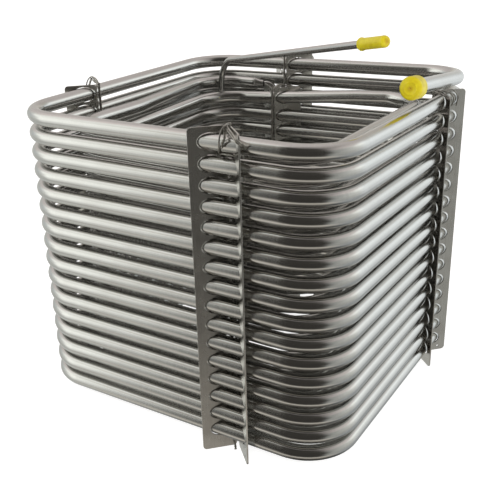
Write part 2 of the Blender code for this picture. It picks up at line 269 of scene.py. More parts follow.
# The studio around the object, as rows of light: (elevation, ((compass angle, level, tint), ...)), in
# degrees. Compass angles run counter-clockwise from +X. The rows start just before the dark side, which is
# where the camera stands.
CLEAR = (0.99, 1.01, 0.97)
COOL = (0.96, 1.01, 1.03)
WARM = (1.06, 1.0, 0.90)
PINK = (1.06, 0.985, 0.96)
STUDIO_START = -125.0     # compass angle at which the rows start
STUDIO_CONTRAST = 1.15    # each level is raised to this power
STUDIO_STRENGTH = 1.6
FULL_TURN = 360.0
STUDIO = (
    (-80, ((-125, 0.05, WARM), (235, 0.05, WARM))),
    (-64, ((-125, 0.14, WARM), (-60, 0.14, WARM), (-20, 0.18, WARM), (20, 0.08, COOL), (100, 0.05, COOL),
           (150, 0.12, CLEAR), (180, 0.26, CLEAR), (220, 0.12, WARM), (235, 0.14, WARM))),
    (-42, ((-125, 0.50, WARM), (-95, 0.45, WARM), (-60, 0.46, WARM), (-22, 0.46, WARM), (20, 0.34, COOL),
           (60, 0.32, COOL), (85, 0.28, COOL), (110, 0.32, CLEAR), (160, 0.46, CLEAR), (200, 0.50, CLEAR),
           (230, 0.52, WARM))),
    (-28, ((-125, 0.38, WARM), (-114, 0.18, WARM), (-95, 0.06, WARM), (-32, 0.06, WARM),
           (-19, 0.36, CLEAR), (0, 0.33, CLEAR), (25, 0.39, COOL), (45, 0.36, COOL), (70, 0.37, COOL),
           (120, 0.43, CLEAR), (180, 0.44, CLEAR), (220, 0.46, CLEAR), (234, 0.42, WARM))),
    (-14, ((-125, 0.40, CLEAR), (-120, 0.06, WARM), (-108, 0.045, WARM), (-33, 0.05, WARM),
           (-21, 0.28, CLEAR), (-12, 0.36, CLEAR), (0, 0.38, CLEAR), (30, 0.46, CLEAR), (55, 0.60, COOL),
           (75, 0.70, COOL), (95, 0.62, COOL), (130, 0.47, CLEAR), (160, 0.52, CLEAR), (180, 0.44, CLEAR),
           (205, 0.52, CLEAR), (217, 0.74, CLEAR), (229, 0.72, CLEAR), (235, 0.40, CLEAR))),
    (6, ((-125, 0.55, CLEAR), (-120, 0.05, WARM), (-26, 0.05, WARM), (-13, 0.33, CLEAR), (12, 0.48, CLEAR),
         (35, 0.60, CLEAR), (55, 0.80, COOL), (70, 0.84, COOL), (85, 0.62, COOL), (120, 0.47, WARM),
         (160, 0.44, CLEAR), (180, 0.50, COOL), (200, 0.64, CLEAR), (211, 1.0, CLEAR), (230, 1.0, CLEAR),
         (235, 0.55, CLEAR))),
    (22, ((-125, 0.45, CLEAR), (-120, 0.05, WARM), (-28, 0.05, WARM), (-15, 0.33, CLEAR), (0, 0.38, CLEAR),
          (25, 0.56, CLEAR), (48, 0.96, CLEAR), (62, 0.90, COOL), (75, 0.53, CLEAR), (95, 0.41, WARM),
          (125, 0.41, PINK), (165, 0.53, PINK), (180, 0.64, CLEAR), (190, 0.94, CLEAR), (228, 1.0, CLEAR),
          (235, 0.45, CLEAR))),
    (40, ((-125, 0.14, WARM), (-120, 0.045, WARM), (-30, 0.06, WARM), (-12, 0.35, PINK), (20, 0.54, PINK),
          (45, 0.53, PINK), (90, 0.45, PINK), (150, 0.49, PINK), (190, 0.66, PINK), (205, 0.88, CLEAR),
          (217, 0.82, CLEAR), (227, 0.45, WARM), (235, 0.14, WARM))),
    (58, ((-125, 0.06, WARM), (-110, 0.04, WARM), (-35, 0.06, WARM), (-10, 0.25, PINK), (20, 0.35, PINK),
          (90, 0.48, PINK), (150, 0.50, PINK), (195, 0.70, PINK), (214, 0.74, CLEAR), (226, 0.15, WARM))),
    (80, ((-125, 0.33, PINK), (-60, 0.20, PINK), (0, 0.33, PINK), (90, 0.46, PINK), (180, 0.45, PINK),
          (235, 0.35, PINK))),
)

SIDES = ("right", "back", "left", "front")   # in the order the tube runs
ALONG = {"right": Vector((0, 1, 0)), "back": Vector((-1, 0, 0)),
         "left": Vector((0, -1, 0)), "front": Vector((1, 0, 0))}
OUTWARD = {"right": Vector((1, 0, 0)), "back": Vector((0, 1, 0)),
           "left": Vector((-1, 0, 0)), "front": Vector((0, -1, 0))}
RIGHT = Vector((1, 0, 0))
UP = Vector((0, 0, 1))

# Blender's own first objects go before the frame comes in
for default_object in list(bpy.data.objects):
    bpy.data.objects.remove(default_object, do_unlink=True)
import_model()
OUTER_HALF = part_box("outer_coil")[1].x - TUBE_R
INNER_HALF = OUTER_HALF - COIL_GAP


# ---------------------------------------------------------------- mesh helpers

def linked_object(name, data):
    """A new object of this data, in the scene."""
    obj = bpy.data.objects.new(name, data)
    bpy.context.scene.collection.objects.link(obj)
    return obj


def set_grain(mesh, places):
    """Store a texture place for each vertex."""
    attribute = mesh.attributes.new("grain", "FLOAT_VECTOR", "POINT")
    attribute.data.foreach_set("vector", np.asarray(places, np.float32).ravel())


def shade(mesh, material, sharp):
    """Smooth shading, apart from edges sharper than an angle in degrees."""
    mesh.shade_smooth()
    mesh.set_sharp_from_angle(angle=math.radians(sharp))
    mesh.materials.clear()
    mesh.materials.append(material)


def mesh_object(name, verts, faces, material, grain, uvs=None, sharp=TUBE_SHARP):
    """A smooth-shaded mesh. grain holds a texture place for each vertex, uvs one for each face corner."""
    mesh = bpy.data.meshes.new(name)
    mesh.from_pydata([tuple(v) for v in verts], [], [tuple(f) for f in faces])
    set_grain(mesh, grain)
    if uvs is not None:
        layer = mesh.uv_layers.new(name="along")
        layer.data.foreach_set("uv", np.asarray(uvs, np.float32).ravel())
    mesh.validate()
    shade(mesh, material, sharp)
    return linked_object(name, mesh)


def path_lengths(pts):
    """Distance along a path at each of its points."""
    return np.concatenate([[0], np.cumsum(np.linalg.norm(np.diff(pts, axis=0), axis=1))])


def frames_along(points):
    """Tangent and two normals at each point of a path, turning as little as they can."""
    pts = np.array([tuple(p) for p in points], float)
    step = np.diff(pts, axis=0)
    step /= np.linalg.norm(step, axis=1)[:, None]
    tangents = np.vstack([step[:1], step[:-1] + step[1:], step[-1:]])
    tangents /= np.linalg.norm(tangents, axis=1)[:, None]
    start = np.cross(tangents[0], (0, 0, 1))
    if np.linalg.norm(start) < NEARLY_UPRIGHT:
        start = np.cross(tangents[0], (1, 0, 0))
    normal = start / np.linalg.norm(start)
    normals = []
    for t in tangents:
        normal = normal - t * (normal @ t)
        normal = normal / np.linalg.norm(normal)
        normals.append(normal)
    normals = np.array(normals)
    return pts, tangents, normals, np.cross(tangents, normals)


def open_end(radius):
    """Rings that make a tube's cut end: up its bore and over its lip, as (distance in, radius)."""
    bore = radius - WALL
    return [(BORE_DEPTH, bore), (LIP, bore), (0.0, bore + LIP), (0.0, radius - LIP), (LIP, radius)]


def closed_end(radius):
    """The one ring of a tube's flat end."""
    return [(0.0, radius)]


def sweep(points, radius, sides=TUBE_SIDES, start=None, end=None):
    """Vertices, faces, grain and uvs of a round tube along a path."""
    pts, tangents, normals, crossways = frames_along(points)
    along = path_lengths(pts)
    rings = []
    for distance, r in (start or closed_end(radius)):
        rings.append((pts[0] + tangents[0] * distance, normals[0], crossways[0], r, distance))
    for i in range(1, len(pts) - 1):
        rings.append((pts[i], normals[i], crossways[i], radius, along[i]))
    for distance, r in reversed(end or closed_end(radius)):
        centre = pts[-1] - tangents[-1] * distance
        rings.append((centre, normals[-1], crossways[-1], r, along[-1] - distance))
    angles = np.arange(sides) * 2 * math.pi / sides
    cos, sin = np.cos(angles), np.sin(angles)
    verts, grain = [], []
    for centre, n, b, r, s in rings:
        verts.append(centre + r * (cos[:, None] * n + sin[:, None] * b))
        grain.append(np.stack([r * cos, r * sin, np.full(sides, s)], axis=1))
    faces, uvs = [], []
    for i in range(len(rings) - 1):
        for j in range(sides):
            k = (j + 1) % sides
            faces.append((i * sides + j, i * sides + k, (i + 1) * sides + k, (i + 1) * sides + j))
            u, v = (j / sides, (j + 1) / sides), (rings[i][4], rings[i + 1][4])
            uvs += [(u[0], v[0]), (u[1], v[0]), (u[1], v[1]), (u[0], v[1])]
    last = (len(rings) - 1) * sides
    faces.append(tuple(range(sides))[::-1])
    faces.append(tuple(last + j for j in range(sides)))
    uvs += [(0.0, 0.0)] * (2 * sides)
    return np.vstack(verts), faces, np.vstack(grain), uvs


def joined(parts):
    """Several swept pieces as one mesh's vertices, faces, grain and uvs."""
    verts, faces, grain, uvs = [], [], [], []
    offset = 0
    for v, f, g, u in parts:
        verts.append(v)
        grain.append(g)
        uvs += u
        faces += [tuple(i + offset for i in face) for face in f]
        offset += len(v)
    return np.vstack(verts), faces, np.vstack(grain), uvs


def tube_object(name, points, radius, material, **ends):
    """A round tube along a path."""
    verts, faces, grain, uvs = sweep(points, radius, **ends)
    return mesh_object(name, verts, faces, material, grain, uvs)


def turned(name, profile, place, axis, material):
    """A turned piece: a profile of (radius, height) from its top, round an axis through place."""
    turn = axis.to_track_quat("Z", "Y").to_matrix()
    grain, rings, faces = [], [], []
    for r, h in profile:
        steps = 1 if r < ON_AXIS else TURNED_STEPS
        rings.append(range(len(grain), len(grain) + steps))
        for a in (2 * math.pi * j / TURNED_STEPS for j in range(steps)):
            grain.append((r * math.cos(a), r * math.sin(a), h))
    verts = [place + turn @ Vector(p) for p in grain]
    for upper, lower in zip(rings, rings[1:]):
        for j in range(TURNED_STEPS):
            k = (j + 1) % TURNED_STEPS
            if len(upper) == 1:
                faces.append((upper[0], lower[j], lower[k]))
            elif len(lower) == 1:
                faces.append((upper[j], lower[0], upper[k]))
            else:
                faces.append((upper[j], lower[j], lower[k], upper[k]))
    uvs = [(math.atan2(verts[i].y, verts[i].z) / (2 * math.pi), verts[i].x) for face in faces for i in face]
    return mesh_object(name, verts, faces, material, grain, uvs, sharp=TURNED_SHARP)


def arc_points(centre_r, centre_h, radius, start_deg, end_deg, steps):
    """Points of an arc, as (radius, height) in a profile. 90 degrees points along the axis."""
    points = []
    for i in range(steps + 1):
        a = math.radians(start_deg + (end_deg - start_deg) * i / steps)
        points.append((centre_r + radius * math.cos(a), centre_h + radius * math.sin(a)))
    return points


def finish_piece(obj, body, slot, *nodes):
    """Say which body a piece rides on, and the CAD nodes it stands for. slot is not used."""
    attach(obj, body)
    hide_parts(*nodes)


# ---------------------------------------------------------------- coil paths

def corner_arc(side, half):
    """The rounded corner at the end of one side of a square, as a level path."""
    inner = half - BEND_R
    centre = (OUTWARD[side] + ALONG[side]) * inner
    start = OUTWARD[side] * BEND_R
    return [centre + Matrix.Rotation(math.pi / 2 * i / CORNER_STEPS, 3, "Z") @ start
            for i in range(CORNER_STEPS + 1)]


def fill_runs(points):
    """The same path with extra points along its long straight runs."""
    filled = [points[0]]
    for a, b in zip(points, points[1:]):
        steps = RUN_STEPS if (b - a).length > BEND_R else 1
        filled += [a.lerp(b, i / steps) for i in range(1, steps + 1)]
    return filled


def turn_length(half):
    """Length of a level turn round a square with rounded corners."""
    return 4 * 2 * (half - BEND_R) + 2 * math.pi * BEND_R


def lift(turns):
    """How far the outer coil sits above an even helix, at a number of turns."""
    part = turns % 1
    share = (LIFT_FALL[1] - part) / (LIFT_FALL[1] - LIFT_FALL[0])
    if part > LIFT_FALL[1]:
        share = (part - LIFT_RISE[0]) / (LIFT_RISE[1] - LIFT_RISE[0])
    return LIFT * min(1, max(0, share))


def outer_height(distance):
    """Height of the outer coil at a distance along it from y = 0 on the right side."""
    straight = OUTER_HALF - BEND_R
    if distance < straight:
        corner = straight / turn_length(OUTER_HALF)
        base = OUTER_TOP_Z - PITCH * corner + lift(corner)
        return base + (OUTLET_Z - base) * (straight - distance) / (straight - OUTLET_Y)
    turns = distance / turn_length(OUTER_HALF)
    return OUTER_TOP_Z - PITCH * turns + lift(turns)


def inner_height(distance):
    """Height of the inner coil at a distance along it from its top end."""
    turns = distance / turn_length(INNER_HALF)
    if turns < LEVEL_TURNS:
        return FIRST_RUN_Z
    if turns < DROP_END_TURNS:
        return FIRST_RUN_Z - DROP * (turns - LEVEL_TURNS) / (DROP_END_TURNS - LEVEL_TURNS)
    return FIRST_RUN_Z - DROP - PITCH * (turns - DROP_END_TURNS)


def raise_path(points, height):
    """The flat path, lifted to height(distance along it)."""
    raised, distance = [], 0.0
    for i, p in enumerate(points):
        if i:
            distance += (p - points[i - 1]).length
        raised.append(Vector((p.x, p.y, height(distance))))
    return raised


def outer_path():
    """Centreline of the outer coil, from its capped end down."""
    points = [Vector((OUTER_HALF, OUTLET_Y, 0))]
    for _ in range(OUTER_TURNS):
        for side in SIDES:
            points += corner_arc(side, OUTER_HALF)
    points += corner_arc("right", OUTER_HALF)
    points.append(Vector((COIL_END_X, OUTER_HALF, 0)))
    return raise_path(fill_runs(points), lambda distance: outer_height(OUTLET_Y + distance))


def inner_path():
    """Centreline of the inner coil, from the riser's fitting down."""
    first_half = OUTER_HALF - FIRST_RUN_INSET
    points = [Vector((FIRST_RUN_X, first_half, 0))]
    points += corner_arc("back", first_half)
    points.append(Vector((-INNER_HALF, SETTLED_Y, 0)))
    order = ("left", "front", "right", "back")
    for i in range(INNER_CORNERS):
        points += corner_arc(order[i % 4], INNER_HALF)
    points.append(Vector((COIL_END_X, INNER_HALF, 0)))
    return raise_path(fill_runs(points), inner_height)


def crossings(points, side, at):
    """Heights at which a coil passes a place on one side, from the top down."""
    found = []
    along = ALONG[side]
    place = at * (along.x + along.y)
    for a, b in zip(points, points[1:]):
        u, v = a.dot(along), b.dot(along)
        if u < place <= v:
            found.append(a.z + (b.z - a.z) * (place - u) / (v - u))
    return found


def bend(before, corner, after, radius, steps):
    """Points of a round bend that replaces a sharp corner."""
    to_before = (before - corner).normalized()
    to_after = (after - corner).normalized()
    half_angle = to_before.angle(to_after) / 2
    middle = corner + (to_before + to_after).normalized() * (radius / math.sin(half_angle))
    start = corner + to_before * (radius / math.tan(half_angle)) - middle
    normal = to_before.cross(to_after).normalized()
    sweep_angle = -(math.pi - 2 * half_angle)
    return [middle + Matrix.Rotation(sweep_angle * i / steps, 3, normal) @ start for i in range(steps + 1)]


def rounded_path(corners, radii, steps):
    """A path through corners, with a round bend at each one between its ends."""
    points = [corners[0]]
    for i, radius in enumerate(radii, start=1):
        points += bend(corners[i - 1], corners[i], corners[i + 1], radius, steps)
    return points + [corners[-1]]


# ---------------------------------------------------------------- node helpers

def add_node(tree, kind, inputs=None, **settings):
    """A node with its settings, and inputs given as values or as the sockets that feed them."""
    node = tree.nodes.new(kind)
    for name, value in settings.items():
        setattr(node, name, value)
    for name, value in (inputs or {}).items():
        socket = node.inputs[name]
        if isinstance(value, bpy.types.NodeSocket):
            tree.links.new(value, socket)
        else:
            socket.default_value = value
    return node


def scaled(tree, vector, scale):
    """A vector stretched along each axis."""
    return add_node(tree, "ShaderNodeVectorMath", {0: vector, 1: scale}, operation="MULTIPLY").outputs[0]


def noise(tree, vector, scale=1.0, detail=3.0, roughness=0.55):
    """Fractal noise, mostly between 0.3 and 0.7."""
    node = add_node(tree, "ShaderNodeTexNoise",
                    {"Vector": vector, "Scale": scale, "Detail": detail, "Roughness": roughness})
    return node.outputs["Fac"]


def map_range(tree, value, low, high, to_low=0.0, to_high=1.0, smooth=False):
    """A value between low and high, carried over to another range and kept inside it."""
    node = add_node(tree, "ShaderNodeMapRange", {"Value": value, "From Min": low, "From Max": high,
                                                 "To Min": to_low, "To Max": to_high})
    node.interpolation_type = "SMOOTHSTEP" if smooth else "LINEAR"
    return node.outputs["Result"]


def mix_colour(tree, factor, a, b):
    """Colour a where the factor is 0 and b where it's 1. The node's colours are its sockets 6 and 7."""
    node = add_node(tree, "ShaderNodeMix", data_type="RGBA")
    for index, value in ((0, factor), (6, a), (7, b)):
        if isinstance(value, bpy.types.NodeSocket):
            tree.links.new(value, node.inputs[index])
        else:
            node.inputs[index].default_value = value if index == 0 else (*value, 1.0)
    return node.outputs[2]


def math_node(tree, operation, a, b=0.0):
    """One sum on one or two values."""
    return add_node(tree, "ShaderNodeMath", {0: a, 1: b}, operation=operation).outputs[0]


def new_material(name, metallic=0.0):
    """A material, its node tree and its shader."""
    material = bpy.data.materials.new(name)
    material.use_nodes = True
    tree = material.node_tree
    shader = tree.nodes["Principled BSDF"]
    shader.inputs["Metallic"].default_value = metallic
    return material, tree, shader


def set_surface(tree, shader, tone, rough, normal):
    """Feed a shader's colour, roughness and normal."""
    for name, socket in (("Base Color", tone), ("Roughness", rough), ("Normal", normal)):
        tree.links.new(socket, shader.inputs[name])


def bump(tree, height, strength, distance, normal=None):
    """A normal bent by a height, on top of an earlier one if there is one."""
    inputs = {"Height": height, "Strength": strength, "Distance": distance}
    if normal is not None:
        inputs["Normal"] = normal
    return add_node(tree, "ShaderNodeBump", inputs).outputs["Normal"]


def grain_vector(tree):
    """Texture place stored on a piece: across and along a tube or wire, or in a sheet's own axes."""
    return add_node(tree, "ShaderNodeAttribute", attribute_name="grain").outputs["Vector"]


def object_vector(tree):
    """Place in the piece's own axes."""
    return add_node(tree, "ShaderNodeTexCoord").outputs["Object"]


# ---------------------------------------------------------------- materials

def tube_material():
    """Bright drawn stainless, polished with a belt: fine lines run round the tube."""
    material, tree, shader = new_material("stainless_tube", metallic=1.0)
    grain = grain_vector(tree)
    lines = noise(tree, scaled(tree, grain, TUBE_LINES), detail=4.0, roughness=0.7)
    fine = noise(tree, scaled(tree, grain, TUBE_FINE_LINES), detail=2.0)
    patches = noise(tree, object_vector(tree), scale=26.0, detail=2.0)
    tone = mix_colour(tree, map_range(tree, lines, 0.3, 0.7), TUBE_DARK, TUBE_LIGHT)
    tone = mix_colour(tree, map_range(tree, patches, 0.35, 0.7, 0.0, 0.35), tone, TUBE_PATCH)
    rough = math_node(tree, "ADD", map_range(tree, lines, 0.25, 0.75, *TUBE_ROUGH),
                      map_range(tree, patches, 0.3, 0.7, 0.0, TUBE_PATCH_ROUGH))
    line_bump = bump(tree, lines, *TUBE_BUMP)
    set_surface(tree, shader, tone, rough, bump(tree, fine, *TUBE_FINE_BUMP, line_bump))
    shader.inputs["Anisotropic"].default_value = TUBE_ANISOTROPY
    shader.inputs["Anisotropic Rotation"].default_value = TUBE_ANISOTROPY_TURN
    tangent = add_node(tree, "ShaderNodeTangent", direction_type="UV_MAP", uv_map="along")
    tree.links.new(tangent.outputs["Tangent"], shader.inputs["Tangent"])
    return material


def sheet_material():
    """Satin rolled sheet, with faint lines down its length and a little waviness."""
    material, tree, shader = new_material("stainless_sheet", metallic=1.0)
    grain = grain_vector(tree)
    lines = noise(tree, scaled(tree, grain, SHEET_LINES), detail=4.0, roughness=0.65)
    cloud = noise(tree, object_vector(tree), scale=38.0, detail=4.0)
    dents = noise(tree, object_vector(tree), scale=60.0, detail=1.0)
    tone = mix_colour(tree, map_range(tree, lines, 0.3, 0.7), SHEET_DARK, SHEET_LIGHT)
    tone = mix_colour(tree, map_range(tree, cloud, 0.45, 0.75, 0.0, 0.5), tone, SHEET_CLOUD)
    rough = map_range(tree, cloud, 0.3, 0.7, *SHEET_ROUGH)
    line_bump = bump(tree, lines, *SHEET_BUMP)
    set_surface(tree, shader, tone, rough, bump(tree, dents, *SHEET_DENTS, line_bump))
    return material


def wire_material():
    """Dull soft tie wire with draw marks and darker handled patches."""
    material, tree, shader = new_material("stainless_wire", metallic=1.0)
    grain = grain_vector(tree)
    draw = noise(tree, scaled(tree, grain, WIRE_LINES), detail=3.0)
    smut = noise(tree, object_vector(tree), scale=160.0, detail=3.0)
    tone = mix_colour(tree, map_range(tree, smut, 0.35, 0.7), WIRE_LIGHT, WIRE_DARK)
    rough = map_range(tree, draw, 0.3, 0.7, *WIRE_ROUGH)
    set_surface(tree, shader, tone, rough, bump(tree, draw, *WIRE_BUMP))
    return material


def vinyl_material():
    """Soft dipped vinyl: yellow, a little cloudy, with painted shade darkening the middle of its face, and
    a satin skin.
    """
    material, tree, shader = new_material("yellow_vinyl")
    cloud = noise(tree, object_vector(tree), scale=210.0, detail=3.0)
    pits = noise(tree, object_vector(tree), scale=1500.0, detail=2.0)
    tone = mix_colour(tree, map_range(tree, cloud, 0.35, 0.7), VINYL_LIGHT, VINYL_DARK)
    # Painted shade: the colour darkens near the axis, at the middle of each cap's face
    flat = scaled(tree, grain_vector(tree), (1, 1, 0))
    off_axis = add_node(tree, "ShaderNodeVectorMath", {0: flat}, operation="LENGTH").outputs["Value"]
    tone = mix_colour(tree, map_range(tree, off_axis, *VINYL_PAINTED_SHADE_R, 0.8, 0.0), tone, VINYL_PAINTED_SHADE)
    rough = map_range(tree, cloud, 0.3, 0.7, *VINYL_ROUGH)
    set_surface(tree, shader, tone, rough, bump(tree, pits, *VINYL_BUMP))
    shader.inputs["Subsurface Weight"].default_value = VINYL_SUBSURFACE
    shader.inputs["Subsurface Radius"].default_value = VINYL_SUBSURFACE_R
    shader.inputs["Subsurface Scale"].default_value = 1.0
    return material


# ---------------------------------------------------------------- strips and wire

def positive_along(side):
    """Direction along a side, towards +X or +Y."""
    return Vector((abs(ALONG[side].x), abs(ALONG[side].y), 0))


def rounded_outline(width, height):
    """A rectangle with rounded corners, from its lower left corner at 0, 0."""
    right, high = width - STRIP_CORNER, height - STRIP_CORNER
    corners = ((right, STRIP_CORNER), (right, high), (STRIP_CORNER, high), (STRIP_CORNER, STRIP_CORNER))
    points = []
    for i, (x, y) in enumerate(corners):
        points += arc_points(x, y, STRIP_CORNER, 90 * i - 90, 90 * i, STRIP_CORNER_STEPS)
    return points


def ellipse(x, y, half_w, half_h, steps):
    """Points of an ellipse."""
    angles = [2 * math.pi * i / steps for i in range(steps)]
    return [(x + half_w * math.cos(a), y + half_h * math.sin(a)) for a in angles]


def add_loop(curve, points):
    """One closed loop of a flat filled curve."""
    spline = curve.splines.new("POLY")
    spline.points.add(len(points) - 1)
    spline.use_cyclic_u = True
    for point, (x, y) in zip(spline.points, points):
        point.co = (x, y, 0, 1)


def strip_outline(name, heights, top, with_pin_hole):
    """The filled flat shape of one strip, with its holes and softened edges."""
    width = (STRIP_OUT + STRIP_IN) * ROOT2
    curve = bpy.data.curves.new(name, "CURVE")
    curve.dimensions = "2D"
    curve.fill_mode = "BOTH"
    curve.extrude = STRIP_THICKNESS / 2 - STRIP_EDGE
    curve.bevel_depth = STRIP_EDGE
    curve.bevel_resolution = STRIP_EDGE_STEPS
    curve.offset = -STRIP_EDGE
    add_loop(curve, rounded_outline(width, top))
    hole_x = STRIP_IN * ROOT2 + HOLE_SHIFT
    for z in heights:
        add_loop(curve, ellipse(hole_x, z, HOLE_HALF_WIDTH, HOLE_HALF_HEIGHT, HOLE_STEPS))
    if with_pin_hole:
        pin_x, pin_z = width - PIN_HOLE[0], PIN_HOLE[1]
        add_loop(curve, ellipse(pin_x, pin_z, PIN_HOLE_R, PIN_HOLE_R, HOLE_STEPS // 2))
    return curve


def perforated_strip(name, side, half, at, hand, heights, top, material):
    """A punched flat strip, standing at 45 degrees on a coil's side. hand is -1 or 1 for its two strips."""
    curve = strip_outline(name, heights, top, with_pin_hole=hand > 0)
    flat = linked_object(name + "_outline", curve)
    bpy.context.view_layer.update()
    mesh = bpy.data.meshes.new_from_object(flat.evaluated_get(bpy.context.evaluated_depsgraph_get()))
    bpy.data.objects.remove(flat, do_unlink=True)
    mesh.name = name
    flat_places = np.zeros(len(mesh.vertices) * 3, np.float32)
    mesh.vertices.foreach_get("co", flat_places)
    set_grain(mesh, flat_places)
    along = positive_along(side)
    across = (OUTWARD[side] + along * hand).normalized()
    place = OUTWARD[side] * (half - STRIP_IN) + along * (at + hand * STRIP_SHIFT)
    turn = Matrix((across, UP, across.cross(UP))).transposed()
    mesh.transform(Matrix.Translation(place) @ turn.to_4x4())
    shade(mesh, material, STRIP_SHARP)
    return linked_object(name, mesh)


def resample(points):
    """The same path with points at even steps along it, and their distances along it."""
    pts = np.array([tuple(p) for p in points], float)
    lengths = path_lengths(pts)
    count = max(4, int(lengths[-1] / WIRE_STEP))
    places = np.linspace(0, lengths[-1], count)
    return np.stack([np.interp(places, lengths, pts[:, i]) for i in range(3)], axis=1), places


def smooth_path(points):
    """A Catmull-Rom curve through the points."""
    pts = [points[0]] + list(points) + [points[-1]]
    path = []
    for i in range(1, len(pts) - 2):
        p0, p1, p2, p3 = pts[i - 1], pts[i], pts[i + 1], pts[i + 2]
        for k in range(CURVE_STEPS):
            t = k / CURVE_STEPS
            path.append(0.5 * ((2 * p1) + (p2 - p0) * t + (2 * p0 - 5 * p1 + 4 * p2 - p3) * t * t
                               + (3 * p1 - p0 - 3 * p2 + p3) * t ** 3))
    return path + [points[-1]]


def strand(points):
    """One strand of wire along a path."""
    return sweep(points, STRAND_R, sides=WIRE_SIDES)


def twisted_pair(points, radius, pitch):
    """Two strands twisted round a path."""
    line, places = resample(points)
    pts, _, normals, crossways = frames_along(line)
    strands = []
    for half_turn in (0, math.pi):
        angle = half_turn + 2 * math.pi * places / pitch
        offset = np.cos(angle)[:, None] * normals + np.sin(angle)[:, None] * crossways
        strands.append(strand(pts + radius * offset))
    return strands


class Spot:
    """Places on one spacer: along its side, outwards from the tubes' centreline, and up."""

    def __init__(self, side, half, at):
        self.along, self.outward = positive_along(side), OUTWARD[side]
        self.half, self.at = half, at

    def __call__(self, a, out, z):
        return self.along * (self.at + a) + self.outward * (self.half + out) + UP * z

    def path(self, places, base):
        """A smooth path through places in millimetres: along, outwards, and above base."""
        return smooth_path([self(a / MM, out / MM, base + up / MM) for a, out, up in places])


def spine_wire(spot, heights, top):
    """The twisted pair down the inside of the meeting edges, with a bent foot."""
    out = -STRIP_IN - SPINE_GAP
    high, low = top + SPINE_ABOVE, max(min(heights) - SPINE_BELOW, SPINE_FOOT)
    (top_a, top_out), (middle_a, middle_out), (end_a, end_out) = SPINE_LEAN
    foot = [spot(0.0, out, low + above) for above in SPINE_TAIL] + [spot(end_a, out + end_out, low)]
    line = [spot(top_a, out + top_out, high), spot(middle_a, out + middle_out, (high + low) / 2)]
    return twisted_pair(line + smooth_path(foot), **TWIST)


def lacing(name, side, half, at, heights, top, material):
    """All the wire on one spacer."""
    spot = Spot(side, half, at)
    z = max(heights)
    parts = spine_wire(spot, heights, top)
    for places in HOOKS if side == "right" else LOOPS:
        parts.append(strand(resample(spot.path(places, z))[0]))
    if side != "right":
        parts += twisted_pair(spot.path(TAIL, z), **TAIL_TWIST)
    if side == "front":
        parts += twisted_pair(spot.path(FOOT_TAIL, 0.0), **TAIL_TWIST)
    verts, faces, grain, _ = joined(parts)
    return mesh_object(name, verts, faces, material, grain, sharp=WIRE_SHARP)


def add_spacer(ring, side, half, coil, sheet, wire):
    """The pair of strips and the wire on one side of one coil. Their place is the frame's."""
    nodes = [f"{ring}_strip_{side}_{word}" for word in ("a", "b")]
    boxes = [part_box(node) for node in nodes]
    axis = 0 if ALONG[side].x else 1
    at = (boxes[0][1][axis] + boxes[1][0][axis]) / 2
    top = boxes[0][1].z
    heights = [z for z in crossings(coil, side, at) if z < top]
    for node, hand, word in zip(nodes, (-1, 1), ("a", "b")):
        holes = [z for z in crossings(coil, side, at + hand * (STRIP_IN + STRIP_SHIFT)) if z < top]
        name = f"{ring}_{side}_strip_{word}_sheet"
        strip = perforated_strip(name, side, half, at, hand, holes, top, sheet)
        finish_piece(strip, "root", "stainless_sheet", node)
    wires = lacing(f"{ring}_{side}_lacing", side, half, at, heights, top, wire)
    finish_piece(wires, "root", "stainless_wire", f"{ring}_tie_wire_{side}")


# ---------------------------------------------------------------- caps and fittings

def add_cap(name, node, size, profile, tube, material):
    """A cap pushed over the end of a tube: tube holds its last two points, the end first."""
    direction = (tube[0] - tube[1]).normalized()
    seat = tube[0] - direction * (size["depth"] - BUTT_GAP)
    cap = turned(name, profile, seat, direction, material)
    finish_piece(cap, node, "yellow_vinyl", node)


def bore_profile(bore, depth):
    """The inside of a cap, up from its rim to the middle of the bore's end."""
    return [(bore, depth - CAP_BORE_EDGE), (bore - CAP_BORE_EDGE, depth), (0, depth)]


def outlet_cap_profile():
    """Large cap: flat end with a moulded ring and a gate mark, soft edge, thick open rim."""
    r, length, depth = (OUTLET_CAP[k] for k in ("radius", "length", "depth"))
    bore = TUBE_R + CAP_CLEAR
    soft, rim = OUTLET_SHOULDER, OUTLET_RIM
    profile = [(face_r, length - below) for face_r, below in OUTLET_FACE]
    profile += arc_points(r - soft, length - soft - 0.0002, soft, 80, 0, 9)
    profile += [(r - 0.0001, 0.0060), (r, 0.0020)]
    profile += arc_points(r - rim, rim, rim, 0, -90, 4)
    profile += arc_points(bore + rim, rim, rim, -90, -180, 4)
    return profile + bore_profile(bore, depth)


def inlet_cap_profile():
    """Small cap: long, with a domed end and a rolled rim."""
    r, length, depth = (INLET_CAP[k] for k in ("radius", "length", "depth"))
    bore = RISER_R + CAP_CLEAR
    soft, rim = INLET_SHOULDER, INLET_RIM
    profile = [(0, length), (0.0006, length)]
    profile += arc_points(r - soft - 0.0001, length - soft, soft, 84, 0, 10)
    profile += [(r - 0.0001, 0.0120), (r, 0.0030), (r + 0.0001, 0.0022)]
    profile += arc_points(r - 0.0002, 0.0011, 0.0008, 60, -90, 7)
    profile += arc_points(bore + rim, rim, rim, -90, -180, 4)
    return profile + bore_profile(bore, depth)


def riser_points(first):
    """Centreline of the riser: a hairpin, a run to the corner, a leg up and the long slant to the cap."""
    back = first + Vector((HAIRPIN_REACH, HAIRPIN_LEAN, 0))
    leg_low = Vector((*RISER_LEG, first.z - HAIRPIN_DROP))
    run = Vector((RISER_RUN_X, first.y, leg_low.z))
    corners = [first, back, back - UP * HAIRPIN_DROP, run, leg_low, RISER_TOP, RISER_END]
    radii = (HAIRPIN_R, HAIRPIN_R, RUN_BEND_R, LEG_BEND_R, RISER_BEND_R)
    return rounded_path(corners, radii, RISER_BEND_STEPS)


